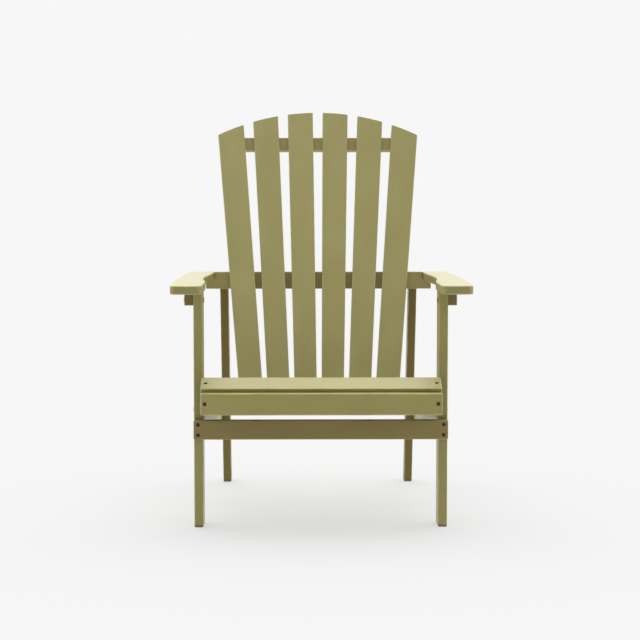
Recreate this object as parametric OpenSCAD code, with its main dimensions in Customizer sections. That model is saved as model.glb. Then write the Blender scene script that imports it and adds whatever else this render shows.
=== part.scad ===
// Slatted garden chair with a fanned back, broad arms and a seat sloping to the rear.
// Front of the chair faces -Y, +Z is up. The origin is on the floor, at the middle of the footprint.
// Inside the modules Y is counted from the front faces of the front legs.

/* [Boards] */
// thickness of the legs, stringers, rails, apron and arm blocks
board_t = 21; // [18:0.5:25]
// thickness of the seat slats and of the back slats
slat_t = 18; // [14:0.5:20]
// outside width over the two stringers, which is also the length of the seat slats
seat_w = 551; // [480:1:620]

/* [Front legs and apron] */
// width of a front leg, front to back
leg_w = 68; // [56:1:80]
// bevel round the bottom of each foot
foot_bevel = 3; // [1:0.5:6]
// height of the apron board across the front legs
apron_h = 45; // [36:1:60]
// height of the apron's lower edge above the floor
apron_z = 211; // [120:1:211]

/* [Seat] */
// width of a stringer, measured square to its length
stringer_w = 68; // [60:1:74]
// how steeply the seat and the stringers fall to the rear, in degrees
seat_slope = 13; // [11:0.5:14]
// height of the highest point of the stringers
crest_z = 342; // [332:1:360]
// how far the stringers and the front rail stand ahead of the front legs
seat_reach = 103; // [90:1:110]
// how far behind the rear leg bolt each stringer ends
stringer_tail = 48; // [34:1:70]
// how steeply the front seat slat tips forward, in degrees
front_tip = 18.5; // [12:0.5:22]
// width of the tipped front seat slat
front_slat_w = 60; // [50:1:62]
// how far the front slat's upper front edge stands ahead of the stringers
front_slat_lip = 1.6; // [0:0.1:4]
// width of each of the other seat slats
seat_slat_w = 58; // [50:1:60]
// gap between neighbouring seat slats
seat_slat_gap = 7.5; // [4:0.5:8]
// height of the front rail that closes the stringer ends
front_rail_h = 50.5; // [42:0.5:52]
// height of the front rail's lower edge above the floor
front_rail_z = 281; // [276:0.5:284]

/* [Back] */
// lean of the back from upright, in degrees
recline = 25; // [22:0.5:28]
// distance along the back from the middle rail to the top of the arched line
back_rise = 454; // [400:1:520]
// distance along the back from the middle rail down to the slat ends
back_drop = 375; // [368:1:384]
// radius of the arch that trims the slat tops
arch_r = 560; // [480:5:900]
// slat width at the seat
slat_w_low = 56.3; // [50:0.1:60]
// widening of a slat for each metre of its length
slat_taper = 14.2; // [0:0.1:20]
// extra width of the two outermost slats, along their outer edges
outer_slat_extra = 3.4; // [0:0.2:5]
// spacing of the slats at the seat
slat_pitch = 69; // [66:0.5:73]
// angle between neighbouring slats, in degrees
fan_step = 1.86; // [1.5:0.02:2.4]
// height of the middle rail
mid_rail_h = 43.5; // [36:0.5:50]
// outside length of the middle rail
mid_rail_l = 580; // [570:1:590]
// height of the small planed seat along the middle rail's top front edge
rail_seat_h = 4; // [2:0.5:6]
// distance from the front legs to the middle rail's front face
mid_rail_y = 450; // [430:1:470]
// height of the top cleat, measured along the back
top_cleat_h = 36.5; // [26:0.5:40]
// thickness of the top cleat
top_cleat_t = 15; // [12:0.5:18]
// half length of the top cleat
top_cleat_half = 249; // [245:1:254]
// distance along the back from the middle rail to the top cleat's upper edge
top_cleat_rise = 388.5; // [330:0.5:400]
// height of the lower back rail, measured along the back
low_rail_h = 40; // [34:1:44]

/* [Rear legs] */
// width of a rear leg, measured square to its length
rear_leg_w = 45; // [38:1:50]
// how steeply the rear legs kick back, in degrees
rear_lean = 17; // [14:0.5:19]
// how far the rear legs stop below the top of the middle rail
rear_leg_drop = 6; // [2:1:10]

/* [Arms] */
// thickness of an arm
arm_t = 20; // [18:0.5:22]
// height of the arm tops above the floor
arm_top_z = 577.5; // [560:0.5:600]
// how far the arms reach ahead of the front legs
arm_reach = 158; // [130:1:180]
// how far the arms reach behind the middle rail's front face
arm_tail = 28; // [24:1:40]
// widest half width over the arms
arm_half = 343.6; // [335:0.1:355]
// radius of the long convex outer edge of an arm
arm_outer_r = 7200; // [6000:100:9000]
// distance from the front legs back to the widest point of the arms
arm_widest_y = 60; // [20:5:100]
// distance from the chair's middle to an arm's inner edge, at the front
arm_inner_front = 268.5; // [266:0.1:271]
// the same distance where the scallop is deepest
arm_inner_scallop = 281; // [275:0.1:284]
// the same distance at the middle rail
arm_inner_rear = 269.7; // [268:0.1:271]
// where the scallop is deepest, behind the front legs' faces
arm_scallop_y = 170; // [120:5:220]
// radius of the rounded front corners of an arm
arm_corner_r = 18; // [10:1:24]
// height of the block under each arm
block_h = 35.5; // [32:0.5:38]
// length of the block under each arm, front to back
block_l = 62; // [54:1:64]

/* [Fasteners] */
// shank diameter of the wood screws
screw_d = 4.2; // [3.5:0.1:5]
// head diameter of the wood screws
screw_head_d = 8.6; // [7:0.1:9.5]
// length of the screws through the seat slats, the front rail, the apron and the stringers
screw_l = 40; // [35:1:42]
// length of the screws through the middle rail into the back slats
mid_screw_l = 36; // [30:1:37]
// length of the screws through the top cleat into the back slats
short_screw_l = 25; // [22:1:27]
// length of the screws through the lower back rail and up into the arms' rear ends
low_screw_l = 32; // [28:1:34]
// length of the screws through the blocks into the arms
block_screw_l = 47; // [44:1:50]
// length of the screws through the rear legs into the middle rail
rear_screw_l = 46; // [42:1:48]
// play between a screw and its hole, on the radius
screw_play = 0.1; // [0.05:0.05:0.2]
// shank diameter of the joint bolts
bolt_d = 6; // [5:0.5:8]
// outside diameter of the sleeve nuts
sleeve_d = 9; // [8.5:0.5:10]
// diameter of the flat heads of the bolts and sleeve nuts
bolt_head_d = 15; // [13:0.5:18]
// thickness of those flat heads
bolt_head_t = 2.6; // [2.4:0.1:4]
// length of a sleeve nut's barrel
sleeve_l = 20; // [16:1:24]
// height of the leg bolts above the floor
leg_bolt_z = 275; // [272:1:300]
// height of the arm block bolts above the floor
block_bolt_z = 534; // [534:0.5:540]

/* [Hidden] */
$fn = 48;
wood = [0.55, 0.52, 0.34];
wood_shade = [0.49, 0.46, 0.29];
screw_colour = [0.22, 0.18, 0.13];
bolt_colour = [0.45, 0.29, 0.19];
half_w = seat_w / 2;
inner_w = half_w - board_t;
outer_w = half_w + board_t;
grip = 2 * board_t;
side_x = half_w - board_t / 2;
crest_y = -seat_reach - front_slat_lip + front_slat_w * cos(front_tip) + slat_t * sin(front_tip);
rail_top_z = arm_top_z;
rail_low_z = rail_top_z - mid_rail_h;
rail_back_y = mid_rail_y + board_t;
back_z = rail_top_z - rail_seat_h;
arm_low_z = arm_top_z - arm_t;
arm_front_y = -arm_reach;
arm_back_y = mid_rail_y + arm_tail;
stringer_drop = stringer_w / cos(seat_slope);
rear_depth = rear_leg_w / cos(rear_lean);
foot_front_y = rail_back_y + rail_low_z * tan(rear_lean);
foot_back_y = foot_front_y + rear_depth;
rear_top_z = rail_top_z - rear_leg_drop;
low_rail_base = -back_drop + 5;
bolt_y = leg_w / 2;
apron_screw_z = [apron_z + apron_h * 0.24, apron_z + apron_h * 0.78];
front_screw_z = front_rail_z + front_rail_h * 0.52;
low_screw_w = low_rail_base + 12;
rear_screw_z = [rail_low_z + 10, rail_low_z + 26];
rear_screw_reach = 30;
rail_screw_drop = 12;
block_screw_gap = 36;
// distance down the back at which the slats' width, spacing and turn are given
ref_drop = 279;
// a screw's pointed end and the cross slots in its head
tip_l = 4;
tip_d = 0.6;
slot_w = 0.9;
slot_depth = 1.6;
// a bolt's bevelled head with its hexagon socket, and the clearance of its hole
head_bevel = 1;
socket_d = 4.6;
socket_depth = 2.2;
thread_gap = 8;
thread_play = 0.1;
hole_play = 0.2;
y_mid = (foot_back_y - foot_bevel * tan(rear_lean) - arm_reach) / 2;
eps = 0.5;

// height of the stringers' upper edge behind the crest
function seat_line(y) = crest_z - (y - crest_y) * tan(seat_slope);
// the rear leg bolt sits where the stringer's middle line meets the rear leg's middle line
rear_bolt_y = (rail_back_y + rear_depth / 2
    + (rail_low_z - crest_z + stringer_drop / 2 - crest_y * tan(seat_slope)) * tan(rear_lean))
    / (1 - tan(seat_slope) * tan(rear_lean));
rear_bolt_z = seat_line(rear_bolt_y) - stringer_drop / 2;
tail_y = rear_bolt_y + stringer_tail;
// offset of each seat slat behind the crest, measured along the stringer
function slat_start(k) = 8 + (k - 2) * (seat_slat_w + seat_slat_gap);
// signed place of a back slat in the fan: -2.5 at the left to 2.5 at the right
function place(i) = i - 3.5;
// sideways position of a back slat's middle line at a distance w up the back
function slat_x(i, w) = place(i) * slat_pitch + (w + ref_drop) * tan(place(i) * fan_step);
// blend from 0 to 1 with flat ends
function ease(u) = (1 - cos(180 * min(max(u, 0), 1))) / 2;
// distance of the arm's inner edge from the middle of the chair
function arm_inner(y) = y < arm_scallop_y
    ? arm_inner_front + (arm_inner_scallop - arm_inner_front) * ease(y / arm_scallop_y)
    : arm_inner_scallop + (arm_inner_rear - arm_inner_scallop)
        * ease((y - arm_scallop_y) / (mid_rail_y - 8 - arm_scallop_y));
// distance of the arm's outer edge from the middle of the chair
function arm_outer(y) = arm_half - arm_outer_r
    + sqrt(arm_outer_r * arm_outer_r - (y - arm_widest_y) * (y - arm_widest_y));

// ---- frames -------------------------------------------------------------------------------

// colours a shape and moves it from the working frame to the chair's own origin
module finished(tint) {
    color(tint)
        translate([0, -y_mid, 0])
            children();
}

// side 1 is the right, side -1 the mirrored left
module on_side(side) {
    if (side > 0)
        children();
    else
        mirror([1, 0, 0])
            children();
}

// plane of the stringers' upper edges: local Y runs to the rear, local Z stands square to it
module on_seat() {
    translate([0, crest_y, crest_z])
        rotate([-seat_slope, 0, 0])
            children();
}

// plane of the tipped front slat, with its rear lower edge on the crest
module on_front_slat() {
    translate([0, crest_y, crest_z])
        rotate([front_tip, 0, 0])
            children();
}

// plane of the back slats' rear faces: local Y runs up the back, local Z points to the sitter
module on_back() {
    translate([0, mid_rail_y, back_z])
        rotate([90 - recline, 0, 0])
            children();
}

// flat shape drawn in Y and Z and given a thickness along X from x0
module side_board(x0, t) {
    translate([x0, 0, 0])
        rotate([90, 0, 90])
            linear_extrude(t)
                children();
}

// ---- fasteners ----------------------------------------------------------------------------

// countersunk wood screw pointing along +Z from the face its head is flush with
module screw(l) {
    head_h = (screw_head_d - screw_d) / 2;
    difference() {
        union() {
            cylinder(h = head_h, d1 = screw_head_d, d2 = screw_d);
            cylinder(h = l - tip_l, d = screw_d);
            translate([0, 0, l - tip_l])
                cylinder(h = tip_l, d1 = screw_d, d2 = tip_d);
        }
        for (a = [0, 90])
            rotate([0, 0, a])
                translate([-screw_d / 2, -slot_w / 2, -eps])
                    cube([screw_d, slot_w, slot_depth + eps]);
    }
}

// the hole a screw needs, a little wider and deeper than the screw itself
module screw_hole(l) {
    head_h = (screw_head_d - screw_d) / 2;
    translate([0, 0, -eps])
        cylinder(h = head_h + eps + screw_play,
            d1 = screw_head_d + 2 * (eps + 2 * screw_play), d2 = screw_d + 2 * screw_play);
    cylinder(h = l + 1, d = screw_d + 2 * screw_play);
}

// joint bolt along +X, its head standing proud of the face at X = 0
module joint_bolt() {
    rotate([0, 90, 0])
        difference() {
            union() {
                translate([0, 0, -bolt_head_t])
                    cylinder(h = bolt_head_t / 2, d1 = bolt_head_d - 2 * head_bevel, d2 = bolt_head_d);
                translate([0, 0, -bolt_head_t / 2])
                    cylinder(h = bolt_head_t / 2, d = bolt_head_d);
                cylinder(h = grip - thread_gap, d = bolt_d);
            }
            translate([0, 0, -bolt_head_t - eps])
                cylinder(h = socket_depth + eps, d = socket_d, $fn = 6);
        }
}

// sleeve nut that closes the far end of a joint bolt, its head beyond X = grip
module sleeve_nut() {
    translate([grip, 0, 0])
        rotate([0, 90, 0])
            difference() {
                union() {
                    translate([0, 0, bolt_head_t / 2])
                        cylinder(h = bolt_head_t / 2, d1 = bolt_head_d, d2 = bolt_head_d - 2 * head_bevel);
                    cylinder(h = bolt_head_t / 2, d = bolt_head_d);
                    translate([0, 0, -sleeve_l])
                        cylinder(h = sleeve_l, d = sleeve_d);
                }
                translate([0, 0, -sleeve_l - eps])
                    cylinder(h = sleeve_l + eps - 1, d = bolt_d + 2 * thread_play);
            }
}

// through hole for a joint bolt and its sleeve nut
module joint_hole() {
    translate([-eps, 0, 0])
        rotate([0, 90, 0])
            cylinder(h = grip + 2 * eps, d = bolt_d + 2 * hole_play);
    translate([grip - sleeve_l - 1, 0, 0])
        rotate([0, 90, 0])
            cylinder(h = sleeve_l + 1 + eps, d = sleeve_d + 2 * hole_play);
}

// ---- places of the fasteners, drawn for the right side ------------------------------------

module at_leg_bolt() {
    translate([outer_w, bolt_y, leg_bolt_z])
        mirror([1, 0, 0])
            children();
}

module at_block_bolt() {
    translate([half_w, bolt_y, block_bolt_z])
        children();
}

module at_rear_bolt() {
    translate([half_w, rear_bolt_y, rear_bolt_z])
        mirror([1, 0, 0])
            children();
}

module at_front_rail_screw() {
    translate([side_x, -seat_reach - board_t, front_screw_z])
        rotate([-90, 0, 0])
            children();
}

module at_apron_screws() {
    for (z = apron_screw_z)
        translate([half_w + board_t / 2, -board_t, z])
            rotate([-90, 0, 0])
                children();
}

module at_front_slat_screw() {
    on_front_slat()
        translate([side_x, -front_slat_w / 2, slat_t])
            rotate([180, 0, 0])
                children();
}

module at_seat_slat_screw(k) {
    on_seat()
        translate([side_x, slat_start(k) + seat_slat_w / 2, slat_t])
            rotate([180, 0, 0])
                children();
}

module at_low_rail_end_screw() {
    on_back()
        translate([half_w, low_screw_w, -board_t / 2])
            rotate([0, -90, 0])
                children();
}

module at_rear_leg_screws() {
    for (z = rear_screw_z)
        translate([inner_w - board_t / 2, rail_back_y + rear_screw_reach, z])
            rotate([90, 0, 0])
                children();
}

module at_block_screws() {
    for (y = [bolt_y - block_screw_gap / 2, bolt_y + block_screw_gap / 2])
        translate([outer_w + board_t / 2, y, arm_low_z - block_h])
            children();
}

module at_arm_rear_screw() {
    translate([(arm_inner_rear + mid_rail_l / 2) / 2, mid_rail_y + board_t / 2, rail_low_z])
        children();
}

// screws driven from behind into one back slat
module at_cleat_screw(i) {
    w = top_cleat_rise - top_cleat_h / 2;
    on_back()
        translate([slat_x(i, w), w, -top_cleat_t])
            children();
}

module at_mid_rail_screw(i) {
    w = (back_z - rail_top_z + rail_screw_drop) / cos(recline);
    translate([slat_x(i, -w), rail_back_y, rail_top_z - rail_screw_drop])
        rotate([90, 0, 0])
            children();
}

module at_low_rail_screw(i) {
    w = low_rail_base + low_rail_h / 2;
    on_back()
        translate([slat_x(i, w), w, -board_t])
            children();
}

// ---- frame --------------------------------------------------------------------------------

// long side board of the seat: level with the tipped slat in front, falling to the rear behind it
module stringer(side) {
    front_y = -seat_reach;
    front_top = crest_z - (crest_y - front_y) * tan(front_tip);
    finished(wood)
        on_side(side)
            difference() {
                side_board(inner_w, board_t)
                    polygon([
                        [front_y, seat_line(front_y) - stringer_drop],
                        [front_y, front_top],
                        [crest_y, crest_z],
                        [tail_y, seat_line(tail_y)],
                        [tail_y - stringer_w * sin(seat_slope),
                            seat_line(tail_y) - stringer_w * cos(seat_slope)]
                    ]);
                at_front_rail_screw()
                    screw_hole(screw_l);
                at_front_slat_screw()
                    screw_hole(screw_l);
                for (k = [2 : 6])
                    at_seat_slat_screw(k)
                        screw_hole(screw_l);
                at_low_rail_end_screw()
                    screw_hole(screw_l);
                at_leg_bolt()
                    joint_hole();
                at_rear_bolt()
                    joint_hole();
            }
}

module front_leg(side) {
    b = foot_bevel;
    finished(wood)
        on_side(side)
            difference() {
                side_board(half_w, board_t)
                    polygon([
                        [b, 0], [leg_w - b, 0], [leg_w, b],
                        [leg_w, arm_low_z], [0, arm_low_z], [0, b]
                    ]);
                at_leg_bolt()
                    joint_hole();
                at_block_bolt()
                    joint_hole();
                at_apron_screws()
                    screw_hole(screw_l);
            }
}

module front_apron() {
    finished(wood_shade)
        difference() {
            translate([-outer_w, -board_t, apron_z])
                cube([2 * outer_w, board_t, apron_h]);
            for (side = [-1, 1])
                on_side(side)
                    at_apron_screws()
                        screw_hole(screw_l);
        }
}

module seat_front_rail() {
    finished(wood)
        difference() {
            translate([-half_w, -seat_reach - board_t, front_rail_z])
                cube([seat_w, board_t, front_rail_h]);
            for (side = [-1, 1])
                on_side(side)
                    at_front_rail_screw()
                        screw_hole(screw_l);
        }
}

// first slat tipped forward over the crest, the others on the falling part of the stringers
module seat_slat(k) {
    finished(wood)
        difference() {
            if (k == 1)
                on_front_slat()
                    translate([-half_w, -front_slat_w, 0])
                        cube([seat_w, front_slat_w, slat_t]);
            else
                on_seat()
                    translate([-half_w, slat_start(k), 0])
                        cube([seat_w, seat_slat_w, slat_t]);
            for (side = [-1, 1])
                on_side(side)
                    if (k == 1)
                        at_front_slat_screw()
                            screw_hole(screw_l);
                    else
                        at_seat_slat_screw(k)
                            screw_hole(screw_l);
        }
}

// kicked-back leg inside the stringer, its top cut upright against the middle rail
module rear_leg(side) {
    b = foot_bevel;
    finished(wood_shade)
        on_side(side)
            difference() {
                side_board(inner_w - board_t, board_t)
                    polygon([
                        [foot_front_y + b, 0],
                        [foot_back_y - b, 0],
                        [foot_back_y - b * tan(rear_lean), b],
                        [rail_back_y + rear_depth - (rear_top_z - rail_low_z) * tan(rear_lean), rear_top_z],
                        [rail_back_y, rear_top_z],
                        [rail_back_y, rail_low_z],
                        [foot_front_y - b * tan(rear_lean), b]
                    ]);
                at_rear_bolt()
                    joint_hole();
                at_rear_leg_screws() {
                    screw_hole(rear_screw_l);
                    translate([0, 0, -rear_leg_w])
                        cylinder(h = rear_leg_w + 2 * screw_play, d = screw_head_d + 4 * hole_play);
                }
            }
}

// ---- back ---------------------------------------------------------------------------------

// upright rail across the chair at arm height, let in at both ends for the arms
module middle_back_rail() {
    half_l = mid_rail_l / 2;
    notch_x = arm_inner_rear - 0.5;
    finished(wood_shade)
        difference() {
            side_board(-half_l, mid_rail_l)
                polygon([
                    [mid_rail_y, rail_low_z],
                    [rail_back_y, rail_low_z],
                    [rail_back_y, rail_top_z],
                    [mid_rail_y + rail_seat_h * tan(recline), rail_top_z],
                    [mid_rail_y, back_z]
                ]);
            for (side = [-1, 1])
                on_side(side) {
                    translate([notch_x, mid_rail_y - 1, arm_low_z])
                        cube([half_l - notch_x + 1, board_t + 2, arm_t + 1]);
                    at_rear_leg_screws()
                        screw_hole(rear_screw_l);
                    at_arm_rear_screw()
                        screw_hole(low_screw_l);
                }
            for (i = [1 : 6])
                at_mid_rail_screw(i)
                    screw_hole(mid_screw_l);
        }
}

module top_back_cleat() {
    finished(wood_shade)
        difference() {
            on_back()
                translate([-top_cleat_half, top_cleat_rise - top_cleat_h, -top_cleat_t])
                    cube([2 * top_cleat_half, top_cleat_h, top_cleat_t]);
            for (i = [1 : 6])
                at_cleat_screw(i)
                    screw_hole(short_screw_l);
        }
}

module lower_back_rail() {
    finished(wood_shade)
        difference() {
            on_back()
                translate([-inner_w, low_rail_base, -board_t])
                    cube([2 * inner_w, low_rail_h, board_t]);
            for (i = [1 : 6])
                at_low_rail_screw(i)
                    screw_hole(low_screw_l);
            for (side = [-1, 1])
                on_side(side)
                    at_low_rail_end_screw()
                        screw_hole(screw_l);
        }
}

// tapered slat of the fan, its top trimmed to the common arch
module back_slat(i) {
    low = -(back_drop - ref_drop);
    high = back_rise + ref_drop + 20;
    w_low = slat_w_low + low * slat_taper / 1000;
    w_high = slat_w_low + high * slat_taper / 1000;
    extra_left = i == 1 ? outer_slat_extra : 0;
    extra_right = i == 6 ? outer_slat_extra : 0;
    finished(wood)
        difference() {
            on_back()
                intersection() {
                    translate([place(i) * slat_pitch, -ref_drop, 0])
                        rotate([0, 0, -place(i) * fan_step])
                            linear_extrude(slat_t)
                                polygon([
                                    [-w_low / 2 - extra_left, low],
                                    [w_low / 2 + extra_right, low],
                                    [w_high / 2 + extra_right, high],
                                    [-w_high / 2 - extra_left, high]
                                ]);
                    translate([0, back_rise - arch_r, -1])
                        cylinder(h = slat_t + 2, r = arch_r, $fn = 180);
                }
            at_cleat_screw(i)
                screw_hole(short_screw_l);
            at_mid_rail_screw(i)
                screw_hole(mid_screw_l);
            at_low_rail_screw(i)
                screw_hole(low_screw_l);
        }
}

// ---- arms ---------------------------------------------------------------------------------

// plan outline of the right arm: inner edge rearwards, outer edge forwards, round front corners
module arm_plan() {
    r = arm_corner_r;
    inner_f = arm_inner_front;
    outer_f = arm_outer(arm_front_y + r);
    polygon(concat(
        [for (a = [270 : -9 : 180]) [inner_f + r + r * cos(a), arm_front_y + r + r * sin(a)]],
        [for (y = [0 : 10 : arm_back_y - 10]) [arm_inner(y), y]],
        [[arm_inner_rear, arm_back_y], [arm_outer(arm_back_y), arm_back_y]],
        [for (y = [arm_back_y - 16 : -22 : arm_front_y + r + 4]) [arm_outer(y), y]],
        [for (a = [0 : -9 : -90]) [outer_f - r + r * cos(a), arm_front_y + r + r * sin(a)]]
    ));
}

module arm(side) {
    finished(wood)
        on_side(side)
            difference() {
                translate([0, 0, arm_low_z])
                    linear_extrude(arm_t)
                        arm_plan();
                at_block_screws()
                    screw_hole(block_screw_l);
                at_arm_rear_screw()
                    screw_hole(low_screw_l);
            }
}

// block on the outside of the front leg that carries the arm
module arm_block(side) {
    finished(wood_shade)
        on_side(side)
            difference() {
                translate([outer_w, (leg_w - block_l) / 2, arm_low_z - block_h])
                    cube([board_t, block_l, block_h]);
                at_block_bolt()
                    joint_hole();
                at_block_screws()
                    screw_hole(block_screw_l);
            }
}

// ---- fastener groups ----------------------------------------------------------------------

module both_sides(tint) {
    finished(tint)
        for (side = [-1, 1])
            on_side(side)
                children();
}

module front_rail_screws() {
    both_sides(screw_colour)
        at_front_rail_screw()
            screw(screw_l);
}

module apron_screws() {
    both_sides(screw_colour)
        at_apron_screws()
            screw(screw_l);
}

module seat_slat_screws() {
    both_sides(screw_colour) {
        at_front_slat_screw()
            screw(screw_l);
        for (k = [2 : 6])
            at_seat_slat_screw(k)
                screw(screw_l);
    }
}

module top_cleat_screws() {
    finished(screw_colour)
        for (i = [1 : 6])
            at_cleat_screw(i)
                screw(short_screw_l);
}

module middle_rail_screws() {
    finished(screw_colour)
        for (i = [1 : 6])
            at_mid_rail_screw(i)
                screw(mid_screw_l);
}

module lower_rail_screws() {
    finished(screw_colour)
        for (i = [1 : 6])
            at_low_rail_screw(i)
                screw(low_screw_l);
}

module lower_rail_end_screws() {
    both_sides(screw_colour)
        at_low_rail_end_screw()
            screw(screw_l);
}

module rear_leg_screws() {
    both_sides(screw_colour)
        at_rear_leg_screws()
            screw(rear_screw_l);
}

module arm_block_screws() {
    both_sides(screw_colour)
        at_block_screws()
            screw(block_screw_l);
}

module arm_rear_screws() {
    both_sides(screw_colour)
        at_arm_rear_screw()
            screw(low_screw_l);
}

module leg_bolts() {
    both_sides(bolt_colour)
        at_leg_bolt()
            joint_bolt();
}

module leg_sleeve_nuts() {
    both_sides(bolt_colour)
        at_leg_bolt()
            sleeve_nut();
}

module arm_block_bolts() {
    both_sides(bolt_colour)
        at_block_bolt()
            joint_bolt();
}

module arm_block_sleeve_nuts() {
    both_sides(bolt_colour)
        at_block_bolt()
            sleeve_nut();
}

module rear_leg_bolts() {
    both_sides(bolt_colour)
        at_rear_bolt()
            joint_bolt();
}

module rear_leg_sleeve_nuts() {
    both_sides(bolt_colour)
        at_rear_bolt()
            sleeve_nut();
}

// ---- drawing ------------------------------------------------------------------------------

stringer(-1);  // stringer_left
stringer(1);  // stringer_right
front_leg(-1);  // front_leg_left
front_leg(1);  // front_leg_right
front_apron();
seat_front_rail();
for (k = [1 : 6]) {
    seat_slat(k);
}
rear_leg(-1);  // rear_leg_left
rear_leg(1);  // rear_leg_right
middle_back_rail();
top_back_cleat();
lower_back_rail();
for (i = [1 : 6]) {
    back_slat(i);
}
arm(-1);  // arm_left
arm(1);  // arm_right
arm_block(-1);  // arm_block_left
arm_block(1);  // arm_block_right
front_rail_screws();
apron_screws();
seat_slat_screws();
top_cleat_screws();
middle_rail_screws();
lower_rail_screws();
lower_rail_end_screws();
rear_leg_screws();
arm_block_screws();
arm_rear_screws();
leg_bolts();
leg_sleeve_nuts();
arm_block_bolts();
arm_block_sleeve_nuts();
rear_leg_bolts();
rear_leg_sleeve_nuts();
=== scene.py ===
import math

import bpy
import numpy as np
from mathutils import Matrix, Vector


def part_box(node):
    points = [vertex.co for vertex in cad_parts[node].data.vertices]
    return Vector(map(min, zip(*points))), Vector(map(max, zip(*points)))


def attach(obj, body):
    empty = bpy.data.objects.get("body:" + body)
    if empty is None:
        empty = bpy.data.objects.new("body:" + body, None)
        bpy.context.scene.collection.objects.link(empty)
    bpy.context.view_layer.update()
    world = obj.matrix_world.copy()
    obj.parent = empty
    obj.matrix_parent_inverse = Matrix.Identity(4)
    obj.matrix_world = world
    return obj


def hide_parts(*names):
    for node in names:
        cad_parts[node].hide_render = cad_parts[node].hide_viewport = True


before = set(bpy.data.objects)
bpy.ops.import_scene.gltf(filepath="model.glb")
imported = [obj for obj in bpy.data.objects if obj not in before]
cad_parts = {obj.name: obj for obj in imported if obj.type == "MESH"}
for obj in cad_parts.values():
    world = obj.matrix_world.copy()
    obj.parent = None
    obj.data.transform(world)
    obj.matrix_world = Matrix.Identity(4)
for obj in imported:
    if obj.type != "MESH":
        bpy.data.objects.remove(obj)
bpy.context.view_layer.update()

BODY = "root"
MM = 0.001

# ---- driving sizes in metres, light and camera ----------------------------------------------

EASE = 2.0 * MM  # rounding of a planed and sanded board edge
ARM_EASE = 3.2 * MM  # the arms are rounded more, where hands rest
FOOT_EASE = 2.6 * MM
RAIL_EASE = 3.6 * MM  # the front rail, where the sitter's legs rest
CORNER_RATIO = 1.3  # a corner of the outline is a little rounder than its edges
EASE_STEPS = 4
CORNER_STEPS = 4
CORNER_ANGLE = math.radians(20)  # a sharper turn than this is a corner, a smaller one a curve
FLAT = 0.02 * MM  # how far from its plane a flat face's point may lie

HEAD_RADIUS = 4.3 * MM
SHANK_RADIUS = 2.1 * MM
TIP_LENGTH = 6 * MM
RECESS_REACH = 2.5 * MM  # half length of each arm of a screw head's cross recess
RECESS_DEPTH = 2.3 * MM
RECESS_WIDTH = 1.1 * MM
THREAD_ROOT = 1.55 * MM
THREAD_PITCH = 2.0 * MM
TWIST = 0.9  # each screw ends up turned by a different amount, in radians
HEAD_SINK = 0.35 * MM  # the screw heads stand this far under the painted face
SEAT_SINK = 1.4 * MM  # and this far in the seat slats, where they are driven in further
SINK_PLAY = 0.3 * MM  # gap round a screw head
BORE_RADIUS = 5.1 * MM  # counterbore of the screws in the rear legs
BORE_LENGTH = 32 * MM
BOLT_HEAD_RADIUS = 7.5 * MM
BOLT_HEAD_HEIGHT = 2.6 * MM
BOLT_RADIUS = 3.0 * MM
BARREL_RADIUS = 4.5 * MM  # outside of a sleeve nut
BORE_OF_BARREL = 3.1 * MM
BARREL_LENGTH = 24 * MM  # a sleeve nut is shorter than this, a bolt longer
SOCKET_RADIUS = 2.65 * MM
SOCKET_DEPTH = 2.0 * MM
END_GRAIN = 0.86  # a face that looks along the board at least this much shows end grain

BACKGROUND = 0.931  # linear value of the plain pale backdrop
SKY_ROUND = 1.79  # light from all round, above the horizon
SKY_ROUND_BAND = (0.13, 0.28)  # where it sets in, from 0 at the horizon to 1 overhead
SKY_BACK = 2.8  # light added behind the chair and taken away in front, growing with height
SKY_TOP = 3.5  # light added straight overhead
SKY_TOP_BAND = (0.90, 0.95)
FLOOR_GLOW = 0.65  # share of the floor's brightness that is its own, as on a light table
FLOOR_WHITE = 0.415 * (1 - FLOOR_GLOW)  # what it reflects of this sky makes up the rest
FLOOR_BOUNCE = 0.98  # light that the floor's own glow sends up at the chair
FLOOR_SIZE = 400  # half width of the floor
BACKDROP_SHEEN = 0.6  # backdrop low behind the chair, mirrored along its sides
BACKDROP_SIDES = (0.3, 0.9)  # how far round it reaches, from 0 at the sides to 1 straight behind
BACKDROP_BAND = (0.3, 0.1)  # how high it reaches, fading upwards

CAMERA_PLACE = (-0.0552, -4.3814, 0.8129)
CAMERA_LENS = 99.9
CAMERA_DOWN = 4.5  # degrees that the camera looks down
CAMERA_RIGHT = 0.74  # degrees that it looks to the right

ROUND = 48  # sides of a bolt; the screws, of which there are many more, have fewer
SCREW_ROUND = 32
SINK_ROUND = 40

# faces of a box whose eight corners are given as two loops, the lower one first
BOX_FACES = [(3, 2, 1, 0), (4, 5, 6, 7), (0, 1, 5, 4), (1, 2, 6, 5), (2, 3, 7, 6), (3, 0, 4, 7)]


# ---- reading the frame ----------------------------------------------------------------------


def flat_normal(mesh):
    """Direction through a board's thickness: the normal of its largest flat faces."""
    areas = {}
    for face in mesh.polygons:
        n = face.normal
        if max(n, key=abs) < 0:
            n = -n
        key = (round(n.x, 3), round(n.y, 3), round(n.z, 3))
        area, total = areas.get(key, (0.0, Vector()))
        areas[key] = (area + face.area, total + n * face.area)
    return max(areas.values(), key=lambda item: item[0])[1].normalized()


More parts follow.
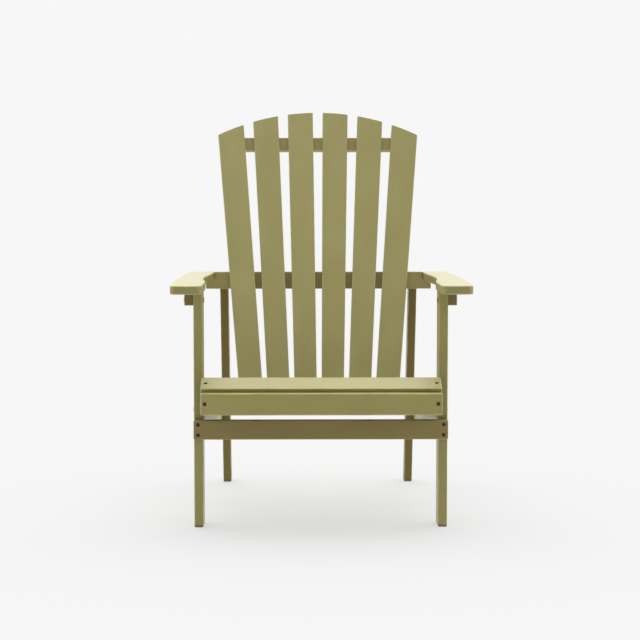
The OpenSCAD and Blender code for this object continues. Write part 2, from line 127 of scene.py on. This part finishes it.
def cap_loops(mesh, level, normal):
    """Closed loops of points round the flat faces at one level along the normal."""
    edges = set()
    for face in mesh.polygons:
        points = [mesh.vertices[v].co for v in face.vertices]
        if any(abs(p.dot(normal) - level) > FLAT for p in points):
            continue
        keys = [(round(p.x, 6), round(p.y, 6), round(p.z, 6)) for p in points]
        for a, b in zip(keys, keys[1:] + keys[:1]):
            if (b, a) in edges:
                edges.remove((b, a))
            else:
                edges.add((a, b))
    following = dict(sorted(edges))
    loops = []
    while following:
        start, point = following.popitem()
        loop = [Vector(start)]
        while point != start:
            loop.append(Vector(point))
            point = following.pop(point)
        loops.append(loop)
    return loops


def longest_edge(loop):
    """Direction of the longest straight stretch of a loop."""
    edges = [b - a for a, b in zip(loop, loop[1:] + loop[:1])]
    return max(edges, key=lambda e: e.length).normalized()


def loop_length(loop):
    return sum((b - a).length for a, b in zip(loop, loop[1:] + loop[:1]))


def without_straight_points(loop):
    """The loop with the points left out that lie on a straight line between their neighbours."""
    kept = []
    for i, point in enumerate(loop):
        before = point - loop[i - 1]
        after = loop[(i + 1) % len(loop)] - point
        if before.length > 1e-6 and after.length > 1e-6 and before.angle(after) > 5e-4:
            kept.append(point)
    return kept


def board_shape(node, along=None):
    """(matrix, outline, half thickness) of a board: its local X runs along the grain."""
    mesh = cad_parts[node].data
    normal = flat_normal(mesh)
    levels = [v.co.dot(normal) for v in mesh.vertices]
    top, bottom = max(levels), min(levels)
    outline = max(cap_loops(mesh, top, normal), key=loop_length)
    outline = without_straight_points(outline)
    x_axis = along or longest_edge(outline)
    if max(x_axis, key=abs) < 0:
        x_axis = -x_axis
    y_axis = normal.cross(x_axis).normalized()
    turn = Matrix((x_axis, y_axis, normal)).transposed()
    local = [turn.transposed() @ p for p in outline]
    middle = Vector((
        (min(p.x for p in local) + max(p.x for p in local)) / 2,
        (min(p.y for p in local) + max(p.y for p in local)) / 2,
        (top + bottom) / 2,
    ))
    matrix = Matrix.Translation(turn @ middle) @ turn.to_4x4()
    flat = [Vector((p.x - middle.x, p.y - middle.y)) for p in local]
    area = sum(a.x * b.y - b.x * a.y for a, b in zip(flat, flat[1:] + flat[:1]))
    if area < 0:
        flat.reverse()
    return matrix, flat, (top - bottom) / 2


def fasteners(node):
    """(head centre, direction into the wood, length) of each fastener in a CAD group."""
    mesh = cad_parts[node].data
    places = {}
    for v in mesh.vertices:
        places.setdefault(tuple(round(c, 6) for c in v.co), len(places))
    owner = list(range(len(places)))

    def root(i):
        while owner[i] != i:
            owner[i] = owner[owner[i]]
            i = owner[i]
        return i

    ids = [places[tuple(round(c, 6) for c in v.co)] for v in mesh.vertices]
    for face in mesh.polygons:
        first = root(ids[face.vertices[0]])
        for v in face.vertices[1:]:
            owner[root(ids[v])] = first
    solids = {}
    for place, i in places.items():
        solids.setdefault(root(i), []).append(place)
    found = []
    for points in solids.values():
        points = np.array(sorted(points))
        centre = points.mean(0)
        axis = np.linalg.eigh(np.cov((points - centre).T))[1][:, -1]
        along = (points - centre) @ axis
        off = np.linalg.norm(points - centre - np.outer(along, axis), axis=1)
        if along[off.argmax()] > 0:
            axis, along = -axis, -along
        middle = points[np.abs(along - along.min()) < 0.4 * MM].mean(0)
        base = centre + ((middle - centre) @ axis) * axis
        found.append((Vector(base), Vector(axis), float(np.ptp(along))))
    return sorted(found, key=lambda f: tuple(round(c, 5) for c in f[0]))


# ---- mesh building --------------------------------------------------------------------------


def add_object(name, verts, faces, matrix=None):
    """An object at the origin whose points are already where the matrix puts them."""
    mesh = bpy.data.meshes.new(name)
    mesh.from_pydata(verts, [], faces)
    mesh.validate()
    if matrix:
        mesh.transform(matrix)
    piece = bpy.data.objects.new(name, mesh)
    bpy.context.scene.collection.objects.link(piece)
    return piece


def turned(v, angle):
    c, s = math.cos(angle), math.sin(angle)
    return Vector((v.x * c - v.y * s, v.x * s + v.y * c))


def rounded_outline(loop, radius):
    """(point, outward direction, weight of edge wear and painted highlight) round a loop, with each
    real corner made a small arc.
    """
    rim = []
    for i, corner in enumerate(loop):
        before = (corner - loop[i - 1]).normalized()
        after = (loop[(i + 1) % len(loop)] - corner).normalized()
        turn = math.atan2(before.x * after.y - before.y * after.x, before.dot(after))
        if abs(turn) < CORNER_ANGLE:
            tangent = (before + after).normalized()
            rim.append((corner, Vector((tangent.y, -tangent.x)), 0.0))
            continue
        side = 1 if turn > 0 else -1
        outward = Vector((before.y, -before.x))
        centre = corner - before * radius * math.tan(abs(turn) / 2) - outward * radius * side
        for step in range(CORNER_STEPS + 1):
            direction = turned(outward, turn * step / CORNER_STEPS)
            edge_wear_and_highlight = math.sin(math.pi * step / CORNER_STEPS)
            rim.append((centre + direction * radius * side, direction, edge_wear_and_highlight))
    return rim


def eased_board(name, matrix, loop, half, ease):
    """A board with this outline whose edges and corners are all rounded."""
    outline = rounded_outline(loop, ease * CORNER_RATIO)
    verts = []
    edge_wear_and_highlight = []
    for end in (-1, 1):
        for step in range(EASE_STEPS + 1):
            a = math.pi / 2 * (step if end < 0 else EASE_STEPS - step) / EASE_STEPS
            inset = ease * (1 - math.sin(a))
            z = end * (half - ease * (1 - math.cos(a)))
            verts += [(p.x - n.x * inset, p.y - n.y * inset, z) for p, n, _ in outline]
            edge_wear_and_highlight += [max(math.sin(2 * a), corner * math.sin(a)) for _, _, corner in outline]
    count = len(outline)
    rings = len(verts) // count
    faces = [tuple(reversed(range(count)))]
    for ring in range(rings - 1):
        for i in range(count):
            j = (i + 1) % count
            a, b = ring * count, (ring + 1) * count
            faces.append((a + i, a + j, b + j, b + i))
    faces.append(tuple(range((rings - 1) * count, rings * count)))
    piece = add_object(name, verts, faces, matrix)
    edge = piece.data.attributes.new("edge", "FLOAT", "POINT")
    edge.data.foreach_set("value", edge_wear_and_highlight)
    return piece


def mark_grain(piece, matrix):
    """Stores each point's place along and across the board, and which faces are end grain."""
    mesh = piece.data
    back = matrix.inverted()
    places = [c for v in mesh.vertices for c in back @ v.co]
    mesh.attributes.new("grain", "FLOAT_VECTOR", "POINT").data.foreach_set("vector", places)
    along = matrix.to_3x3().col[0]
    ends = [1.0 if abs(f.normal.dot(along)) > END_GRAIN else 0.0 for f in mesh.polygons]
    mesh.attributes.new("end", "FLOAT", "FACE").data.foreach_set("value", ends)


def lathe(profile, steps=ROUND):
    """Closed solid turned about Z from (radius, height) pairs, whose ends are flat discs."""
    verts = []
    for r, z in profile:
        for i in range(steps):
            a = 2 * math.pi * i / steps
            verts.append((r * math.cos(a), r * math.sin(a), z))
    faces = [tuple(reversed(range(steps)))]
    for ring in range(len(profile) - 1):
        for i in range(steps):
            j = (i + 1) % steps
            a, b = ring * steps, (ring + 1) * steps
            faces.append((a + i, a + j, b + j, b + i))
    faces.append(tuple(range((len(profile) - 1) * steps, len(profile) * steps)))
    return verts, faces


def aimed(point, direction):
    """Matrix that puts the origin at point and turns +Z to the direction."""
    return Matrix.Translation(point) @ direction.to_track_quat("Z", "Y").to_matrix().to_4x4()


def cut(piece, cutters):
    """Takes the cutters out of the piece and deletes them."""
    for cutter in cutters:
        hole = piece.modifiers.new("hole", "BOOLEAN")
        hole.operation = "DIFFERENCE"
        hole.solver = "EXACT"
        hole.object = cutter
    bpy.context.view_layer.update()
    graph = bpy.context.evaluated_depsgraph_get()
    made = bpy.data.meshes.new_from_object(piece.evaluated_get(graph))
    old = piece.data
    piece.modifiers.clear()
    made.name = old.name
    piece.data = made
    bpy.data.meshes.remove(old)
    for cutter in cutters:
        bpy.data.objects.remove(cutter)


def taken(piece):
    """(points, faces) of a piece, which is deleted."""
    mesh = piece.data
    shape = [v.co.copy() for v in mesh.vertices], [tuple(f.vertices) for f in mesh.polygons]
    bpy.data.objects.remove(piece)
    bpy.data.meshes.remove(mesh)
    return shape


def soften(piece, angle=40):
    """Smooth shading that keeps flat faces flat and hole rims crisp."""
    mesh = piece.data
    mesh.polygons.foreach_set("use_smooth", [True] * len(mesh.polygons))
    mesh.set_sharp_from_angle(angle=math.radians(angle))
    weighted = piece.modifiers.new("weighted", "WEIGHTED_NORMAL")
    weighted.keep_sharp = True
    weighted.weight = 100


def place(piece, slot, *nodes):
    """The piece stands for these CAD nodes and rides on the frame; the slot is not used."""
    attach(piece, BODY)
    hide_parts(*nodes)


# ---- materials ------------------------------------------------------------------------------


class Nodes:
    """Short calls for building a material's node tree."""

    def __init__(self, name):
        self.material = bpy.data.materials.new(name)
        self.material.use_nodes = True
        self.tree = self.material.node_tree
        self.shader = self.tree.nodes["Principled BSDF"]

    def add(self, kind, inputs=None, **settings):
        made = self.tree.nodes.new("ShaderNode" + kind)
        for key, value in settings.items():
            setattr(made, key, value)
        for key, value in (inputs or {}).items():
            if isinstance(value, bpy.types.NodeSocket):
                self.tree.links.new(value, made.inputs[key])
            else:
                made.inputs[key].default_value = value
        return made

    def maths(self, operation, a, b=0.0):
        return self.add("Math", {0: a, 1: b}, operation=operation).outputs[0]

    def mix(self, factor, a, b):
        made = self.add("Mix", data_type="RGBA")
        for key, value in (("Factor", factor), ("A", a), ("B", b)):
            socket = next(s for s in made.inputs if s.name == key and s.enabled)
            if isinstance(value, bpy.types.NodeSocket):
                self.tree.links.new(value, socket)
            else:
                socket.default_value = value
        return next(s for s in made.outputs if s.enabled)

    def spread(self, value, low, high, to_low=0.0, to_high=1.0):
        """Maps low..high to to_low..to_high, smoothly and clamped."""
        made = self.add("MapRange", {0: value, 1: low, 2: high, 3: to_low, 4: to_high},
                        interpolation_type="SMOOTHSTEP")
        return made.outputs[0]

    def noise(self, vector, scale, detail=3.0, roughness=0.55, distortion=0.0):
        made = self.add("TexNoise", {"Vector": vector, "Scale": scale, "Detail": detail,
                                     "Roughness": roughness, "Distortion": distortion})
        return made.outputs["Fac"]

    def scaled(self, vector, scale):
        made = self.add("VectorMath", {0: vector, 1: scale}, operation="MULTIPLY")
        return made.outputs[0]

    def link(self, output, name):
        self.tree.links.new(output, self.shader.inputs[name])


PALE_END = (0.17, 0.146, 0.058, 1)  # end grain drinks in more paint and stays darker
BLOCK_END_SHADE = (0.10, 0.065, 0.018, 1)  # darker still on the arm blocks' forward-facing end grain, which also holds the painted shade under the arms
RUBBED_AND_HIGHLIGHT_TONE = (0.41, 0.37, 0.17, 1)  # paint worn thin along the edges, made paler still as a painted highlight on the eased edges
FOOT_BOTTOM_BROWN = (0.12, 0.066, 0.03, 1)  # darker brown over the lowest few millimetres of the feet
HOLE_TONE = (0.02, 0.014, 0.007, 1)  # dirt and shade in the screw holes


def painted_wood(name, deep, pale, foot=False, sheen=0.5, end_grain_and_shade=PALE_END):
    """Satin outdoor paint over planed softwood, with the grain showing faintly through it.

    It reads the boards' attributes: "grain" is the place along and across the board, "end" marks
    end grain, "edge" the eased edges and "sunk" the walls of the screw holes.
    """
    m = Nodes(name)
    where = m.add("Attribute", attribute_name="grain")
    shift = m.maths("MULTIPLY", m.add("ObjectInfo").outputs["Random"], 41.0)
    offset = m.add("CombineXYZ", {0: shift, 1: shift, 2: shift}).outputs[0]
    point = m.add("VectorMath", {0: where.outputs["Vector"], 1: offset}, operation="ADD").outputs[0]

    mottle = m.noise(m.scaled(point, (6.0, 14.0, 14.0)), 1.0, 3.0)
    fibre = m.noise(m.scaled(point, (5.0, 260.0, 260.0)), 1.0, 4.0, 0.6, 0.3)
    bend = m.noise(m.scaled(point, (3.0, 9.0, 9.0)), 1.0, 2.0)
    lanes = m.maths("ADD", m.add("SeparateXYZ", {0: point}).outputs[1],
                    m.maths("MULTIPLY", bend, 0.05))
    rings = m.maths("SINE", m.maths("MULTIPLY", lanes, 620.0))
    grain = m.maths("ADD", m.maths("MULTIPLY", fibre, 0.7), m.maths("MULTIPLY", rings, 0.12))
    speck = m.noise(point, 1400.0, 2.0)

    tone = m.maths("ADD", m.maths("MULTIPLY", mottle, 0.8), m.maths("MULTIPLY", grain, 0.25))
    colour = m.mix(m.spread(tone, 0.3, 0.8), deep, pale)

    end = m.add("Attribute", attribute_name="end").outputs["Fac"]
    # End grain takes a darker tone; on the arm blocks this tone also holds painted shade.
    colour = m.mix(m.maths("MULTIPLY", end, 0.5), colour, end_grain_and_shade)

    # Eased edges go paler in ragged patches: worn paint, and a painted highlight where the rounded
    # edges would catch light.
    edge = m.add("Attribute", attribute_name="edge").outputs["Fac"]
    edge_breakup = m.noise(m.scaled(point, (24.0, 90.0, 90.0)), 1.0, 4.0, 0.65)
    worn_and_highlight = m.maths("MULTIPLY", edge, m.spread(edge_breakup, 0.34, 0.64))
    colour = m.mix(m.maths("MULTIPLY", worn_and_highlight, 0.7), colour, RUBBED_AND_HIGHLIGHT_TONE)

    if foot:
        # The feet go darker brown over their lowest few millimetres, with a ragged upper edge.
        height = m.add("SeparateXYZ", {0: m.add("NewGeometry").outputs["Position"]}).outputs[2]
        ragged = m.maths("ADD", height, m.maths("MULTIPLY", m.noise(point, 220.0), -0.004))
        foot_band = m.spread(ragged, 0.0065, 0.001)
        colour = m.mix(m.maths("MULTIPLY", foot_band, 0.9), colour, FOOT_BOTTOM_BROWN)

    sunk = m.add("Attribute", attribute_name="sunk").outputs["Fac"]
    colour = m.mix(sunk, colour, HOLE_TONE)

    m.link(colour, "Base Color")
    rough = m.maths("ADD", 0.36, m.maths("MULTIPLY", mottle, 0.12))
    rough = m.maths("ADD", rough, m.maths("MULTIPLY", end, 0.2))
    rough = m.maths("ADD", rough, m.maths("MULTIPLY", worn_and_highlight, 0.12))
    m.link(rough, "Roughness")
    m.shader.inputs["IOR"].default_value = 1.52
    m.shader.inputs["Specular IOR Level"].default_value = sheen
    coarse = m.add("Bump", {"Height": grain, "Strength": 0.35, "Distance": 0.25 * MM})
    fine = m.add("Bump", {"Height": speck, "Strength": 0.25, "Distance": 0.06 * MM,
                          "Normal": coarse.outputs[0]})
    m.link(fine.outputs[0], "Normal")
    return m.material


def coated_metal(name, deep, pale, metallic, sheen, low_rough, high_rough):
    """Fastener metal with a dull, slightly uneven surface treatment."""
    m = Nodes(name)
    point = m.add("Attribute", attribute_name="grain").outputs["Vector"]
    cloud = m.noise(point, 260.0, 4.0, 0.6)
    scratch = m.noise(m.scaled(point, (1.0, 9.0, 9.0)), 420.0, 3.0)
    m.link(m.mix(m.spread(cloud, 0.3, 0.7), deep, pale), "Base Color")
    m.link(m.spread(scratch, 0.3, 0.7, low_rough, high_rough), "Roughness")
    m.shader.inputs["Metallic"].default_value = metallic
    m.shader.inputs["Specular IOR Level"].default_value = sheen
    bump = m.add("Bump", {"Height": scratch, "Strength": 0.2, "Distance": 0.05 * MM})
    m.link(bump.outputs[0], "Normal")
    return m.material


OLIVE = ((0.231, 0.208, 0.066, 1), (0.257, 0.234, 0.081, 1))
# Browner and darker copies of the olive with painted shade in them: warm shade for the back rails,
# shade for the apron and arm blocks, deep shade for the rear legs.
OLIVE_WARM_SHADE = ((0.270, 0.222, 0.068, 1), (0.300, 0.249, 0.083, 1))
OLIVE_SHADE = ((0.179, 0.140, 0.035, 1), (0.202, 0.160, 0.043, 1))
OLIVE_DEEP_SHADE = ((0.138, 0.106, 0.025, 1), (0.156, 0.121, 0.032, 1))

paint = painted_wood("olive_paint", *OLIVE)
leg_paint = painted_wood("olive_paint_leg", *OLIVE, foot=True, sheen=0.25)
side_paint = painted_wood("olive_paint_side", *OLIVE, sheen=0.25)
rubbed_paint = painted_wood("olive_paint_rubbed", *OLIVE, sheen=0.42)
# The next four paints carry painted shade, for boards that sit behind or under others.
inner_shade_paint = painted_wood("olive_paint_inner", *OLIVE_WARM_SHADE)
low_shade_paint = painted_wood("olive_paint_low", *OLIVE_SHADE, sheen=0.35)
block_shade_paint = painted_wood("olive_paint_block", *OLIVE_SHADE, sheen=0.35, end_grain_and_shade=BLOCK_END_SHADE)
rear_leg_shade_paint = painted_wood("olive_paint_rear_leg", *OLIVE_DEEP_SHADE, foot=True, sheen=0.2)
# Boards of one kind share a paint, duller where it is rubbed. The boards that sit in shade take the
# browner, darker copies of the olive, which hold painted shade.
PAINTS = {"back_slat": paint, "seat_slat": rubbed_paint, "arm": rubbed_paint,
          "seat_front": side_paint, "stringer": side_paint, "front_leg": leg_paint,
          "rear_leg": rear_leg_shade_paint, "front": low_shade_paint, "arm_block": block_shade_paint,
          "middle_back": inner_shade_paint, "top_back": inner_shade_paint, "lower_back": inner_shade_paint}

screw_metal = coated_metal("screw_finish", (0.04, 0.027, 0.015, 1), (0.085, 0.06, 0.035, 1),
                           0.35, 0.1, 0.5, 0.7)
bolt_metal = coated_metal("bolt_finish", (0.30, 0.115, 0.05, 1), (0.42, 0.19, 0.095, 1),
                          0.85, 0.5, 0.3, 0.48)


# ---- boards ---------------------------------------------------------------------------------

SCREW_GROUPS = [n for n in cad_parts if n.endswith("_screws")]
SLEEVE_GROUPS = [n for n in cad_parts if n.endswith("_sleeve_nuts")]
BOLT_GROUPS = [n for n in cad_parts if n.endswith("_bolts")]
BOARDS = [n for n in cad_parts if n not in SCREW_GROUPS + SLEEVE_GROUPS + BOLT_GROUPS]

places = {group: fasteners(group) for group in SCREW_GROUPS + BOLT_GROUPS + SLEEVE_GROUPS}


def sink_of(group):
    return SEAT_SINK if group == "seat_slat_screws" else HEAD_SINK


def sink_radius(group):
    return BORE_RADIUS if group == "rear_leg_screws" else HEAD_RADIUS + SINK_PLAY


def sink_cutter(group, head, direction):
    """Solid that cuts the countersink, or in a rear leg the counterbore, of one screw."""
    reach = BORE_LENGTH if group == "rear_leg_screws" else 4 * MM
    wide = sink_radius(group)
    cone = HEAD_RADIUS - SHANK_RADIUS
    sink = sink_of(group)
    profile = [(wide, -reach), (wide, sink), (wide - cone, sink + cone)]
    verts, faces = lathe(profile, SINK_ROUND)
    return add_object("cutter", verts, faces, aimed(head, direction))


def heads_in(node):
    """(group, head, direction) of each screw whose head lies in this board's box."""
    low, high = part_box(node)
    margin = 1 * MM
    found = []
    for group in SCREW_GROUPS:
        for head, direction, _ in places[group]:
            if all(low[i] - margin < head[i] < high[i] + margin for i in range(3)):
                found.append((group, head, direction))
    return found


def mark_holes(piece, heads):
    """Face attribute "sunk" is 1 on the walls of the holes that the screw heads sit in."""
    sunk = np.zeros(len(piece.data.polygons))
    for group, head, direction in heads:
        inside = set()
        for vertex in piece.data.vertices:
            away = vertex.co - head
            if (away - direction * away.dot(direction)).length < sink_radius(group) + FLAT:
                inside.add(vertex.index)
        for face in piece.data.polygons:
            if inside.issuperset(face.vertices):
                sunk[face.index] = 1
    piece.data.attributes.new("sunk", "FLOAT", "FACE").data.foreach_set("value", sunk)


def planed_corner(node):
    """Wedge that planes the rail's top front edge to the slope of the slats that rest on it."""
    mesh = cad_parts[node].data
    slope = max((f for f in mesh.polygons if 0.1 < f.normal.z < 0.99), key=lambda f: f.area)
    low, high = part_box(node)
    across = Vector((1, 0, 0))
    turn = Matrix((across, slope.normal.cross(across), slope.normal)).transposed()
    reach = (high.x - low.x) / 2 + 10 * MM
    verts = [(x, y, z) for z in (0, 8 * MM) for x, y in
             ((-reach, -20 * MM), (reach, -20 * MM), (reach, 20 * MM), (-reach, 20 * MM))]
    centre = Vector(slope.center)
    centre.x = (low.x + high.x) / 2
    return add_object("cutter", verts, BOX_FACES, Matrix.Translation(centre) @ turn.to_4x4())


def ease_of(node):
    if node in ("arm_left", "arm_right"):
        return ARM_EASE
    if node == "seat_front_rail":
        return RAIL_EASE
    return FOOT_EASE if "_leg_" in node else EASE


for node in BOARDS:
    is_arm = node in ("arm_left", "arm_right")
    matrix, loop, half = board_shape(node, Vector((0, 1, 0)) if is_arm else None)
    board = eased_board("board_" + node, matrix, loop, half, ease_of(node))
    heads = heads_in(node)
    cutters = [sink_cutter(*head) for head in heads]
    if node == "middle_back_rail":
        cutters.append(planed_corner(node))
    if cutters:
        cut(board, cutters)
    mark_grain(board, matrix)
    mark_holes(board, heads)
    soften(board)
    board.data.materials.append(PAINTS[node.rsplit("_", 1)[0]])
    place(board, "painted_wood", node)


# ---- fasteners ------------------------------------------------------------------------------


def wedge(reach, width, depth, taper):
    """One arm of a tapered recess: a block centred on Z that narrows towards its bottom."""
    verts = []
    for z, x in ((-1 * MM, reach), (depth, reach * taper)):
        verts += [(-x, -width / 2, z), (x, -width / 2, z), (x, width / 2, z), (-x, width / 2, z)]
    return verts, BOX_FACES


def screw_shape(length):
    """(points, faces) of a countersunk wood screw along +Z: domed head, cross recess, threads."""
    cone = HEAD_RADIUS - SHANK_RADIUS
    head = [(0.6, 0.02), (2.2, 0.06), (3.3, 0.14), (3.9, 0.26), (4.2, 0.42), (4.3, 0.62)]
    profile = [(r * MM, z * MM) for r, z in head]
    neck = HEAD_SINK + cone + 1 * MM
    profile += [(SHANK_RADIUS, neck), (SHANK_RADIUS, neck + (length - neck) * 0.35)]
    z = profile[-1][1]
    while z + THREAD_PITCH < length - TIP_LENGTH:
        profile += [(THREAD_ROOT, z + THREAD_PITCH * 0.35), (SHANK_RADIUS, z + THREAD_PITCH)]
        z += THREAD_PITCH
    profile += [(THREAD_ROOT, length - TIP_LENGTH), (0.3 * MM, length)]
    blank = add_object("screw_blank", *lathe(profile, SCREW_ROUND))
    arms = [add_object("arm", *wedge(RECESS_REACH, RECESS_WIDTH, RECESS_DEPTH, 0.35))]
    arms.append(add_object("arm", *wedge(RECESS_REACH, RECESS_WIDTH, RECESS_DEPTH, 0.35),
                           Matrix.Rotation(math.pi / 2, 4, "Z")))
    cut(blank, arms)
    return taken(blank)


def bolt_shape(length, socket):
    """(points, faces) along +Z of a flat-headed bolt with a hexagon socket, or of a sleeve nut."""
    r = BOLT_HEAD_RADIUS
    h = BOLT_HEAD_HEIGHT
    profile = [(0.55 * r, 0.0), (0.8 * r, 0.06 * h), (0.92 * r, 0.2 * h), (0.985 * r, 0.42 * h)]
    profile += [(r, 0.62 * h), (r, 0.88 * h), (0.985 * r, h)]
    barrel = BARREL_RADIUS if length < BARREL_LENGTH else BOLT_RADIUS
    profile += [(barrel, h), (barrel, length)]
    blank = add_object("bolt_blank", *lathe(profile))
    if socket:
        hollow = lathe([(SOCKET_RADIUS, -1 * MM), (SOCKET_RADIUS, SOCKET_DEPTH)], 6)
    else:
        hollow = lathe([(BORE_OF_BARREL, h + 1 * MM), (BORE_OF_BARREL, length + 1 * MM)])
    cut(blank, [add_object("hollow", *hollow)])
    return taken(blank)


def fastener_piece(group, shape, shift, metal):
    """One piece with a copy of the shape, turned a little differently, at each place."""
    points, faces, local = [], [], []
    for i, (head, direction, _) in enumerate(places[group]):
        matrix = aimed(head + direction * shift, direction) @ Matrix.Rotation(i * TWIST, 4, "Z")
        start = len(points)
        points += [matrix @ p for p in shape[0]]
        faces += [tuple(v + start for v in f) for f in shape[1]]
        local += [c + i for p in shape[0] for c in p]
    piece = add_object("fastener_" + group, points, faces)
    mesh = piece.data
    mesh.attributes.new("grain", "FLOAT_VECTOR", "POINT").data.foreach_set("vector", local)
    soften(piece, 30)
    mesh.materials.append(metal)
    return piece


for group in SCREW_GROUPS:
    length = places[group][0][2]
    piece = fastener_piece(group, screw_shape(length), sink_of(group), screw_metal)
    place(piece, "screw_steel", group)
for group in BOLT_GROUPS + SLEEVE_GROUPS:
    length = places[group][0][2]
    piece = fastener_piece(group, bolt_shape(length, group in BOLT_GROUPS), 0, bolt_metal)
    place(piece, "bolt_steel", group)


# ---- studio ---------------------------------------------------------------------------------


def studio_world():
    """Soft light, strongest overhead and behind the chair; the camera sees an even backdrop."""
    world = bpy.data.worlds.new("studio")
    bpy.context.scene.world = world
    world.use_nodes = True
    tree = world.node_tree
    tree.nodes.clear()

    def add(kind, **inputs):
        """A node whose input sockets are given by number, as _0, _1 and so on."""
        node = tree.nodes.new("ShaderNode" + kind)
        for key, value in inputs.items():
            socket = node.inputs[int(key[1:])]
            if isinstance(value, bpy.types.NodeSocket):
                tree.links.new(value, socket)
            else:
                socket.default_value = value
        return node

    def maths(operation, a, b):
        node = add("Math", _0=a, _1=b)
        node.operation = operation
        return node.outputs[0]

    def ramp(value, low, high, top):
        """Rises smoothly from 0 at low to top at high."""
        node = add("MapRange", _0=value, _1=low, _2=high, _3=0.0, _4=top)
        node.interpolation_type = "SMOOTHSTEP"
        return node.outputs[0]

    split = add("SeparateXYZ", _0=tree.nodes.new("ShaderNodeTexCoord").outputs["Generated"])
    _, back, up = split.outputs
    lean = maths("MULTIPLY", maths("MULTIPLY", back, SKY_BACK), maths("MAXIMUM", up, 0.0))
    sky = maths("ADD", ramp(up, *SKY_ROUND_BAND, SKY_ROUND), ramp(up, *SKY_TOP_BAND, SKY_TOP))
    sheen = maths("MULTIPLY", ramp(back, *BACKDROP_SIDES, BACKDROP_SHEEN),
                  ramp(up, *BACKDROP_BAND, 1.0))
    sky = maths("ADD", maths("MAXIMUM", maths("ADD", sky, lean), 0.0), sheen)
    light = add("Background", _0=(1, 1, 1, 1), _1=sky)
    plain = add("Background", _0=(1, 1, 1, 1), _1=BACKGROUND)
    seen = tree.nodes.new("ShaderNodeLightPath").outputs["Is Camera Ray"]
    mix = add("MixShader", _0=seen, _1=light.outputs[0], _2=plain.outputs[0])
    add("OutputWorld", _0=mix.outputs[0])


def pale_floor():
    """Plain floor out to the horizon that glows faintly, so that it stays as pale as the backdrop."""
    verts = [(-FLOOR_SIZE, -FLOOR_SIZE, 0), (FLOOR_SIZE, -FLOOR_SIZE, 0),
             (FLOOR_SIZE, FLOOR_SIZE, 0), (-FLOOR_SIZE, FLOOR_SIZE, 0)]
    floor = add_object("floor", verts, [(0, 1, 2, 3)])
    material = bpy.data.materials.new("floor")
    material.use_nodes = True
    tree = material.node_tree
    tree.nodes.clear()
    diffuse = tree.nodes.new("ShaderNodeBsdfDiffuse")
    diffuse.inputs[0].default_value = (FLOOR_WHITE, FLOOR_WHITE, FLOOR_WHITE, 1)
    glow = tree.nodes.new("ShaderNodeEmission")
    seen = tree.nodes.new("ShaderNodeLightPath").outputs["Is Camera Ray"]
    strength = tree.nodes.new("ShaderNodeMix")
    factor, _, for_chair, for_camera = strength.inputs[:4]
    tree.links.new(seen, factor)
    for_chair.default_value = FLOOR_BOUNCE
    for_camera.default_value = BACKGROUND * FLOOR_GLOW
    tree.links.new(strength.outputs[0], glow.inputs[1])
    both = tree.nodes.new("ShaderNodeAddShader")
    out = tree.nodes.new("ShaderNodeOutputMaterial")
    tree.links.new(diffuse.outputs[0], both.inputs[0])
    tree.links.new(glow.outputs[0], both.inputs[1])
    tree.links.new(both.outputs[0], out.inputs[0])
    floor.data.materials.append(material)


def photo_camera():
    """Long lens, above the arms, looking a little down and a hair to the right."""
    data = bpy.data.cameras.new("camera")
    data.lens = CAMERA_LENS
    data.sensor_width = 36
    camera = bpy.data.objects.new("camera", data)
    camera.location = CAMERA_PLACE
    camera.rotation_euler = (math.radians(90 - CAMERA_DOWN), 0, math.radians(-CAMERA_RIGHT))
    bpy.context.scene.collection.objects.link(camera)
    bpy.context.scene.camera = camera


studio_world()
pale_floor()
photo_camera()
bpy.context.scene.view_settings.view_transform = "Standard"
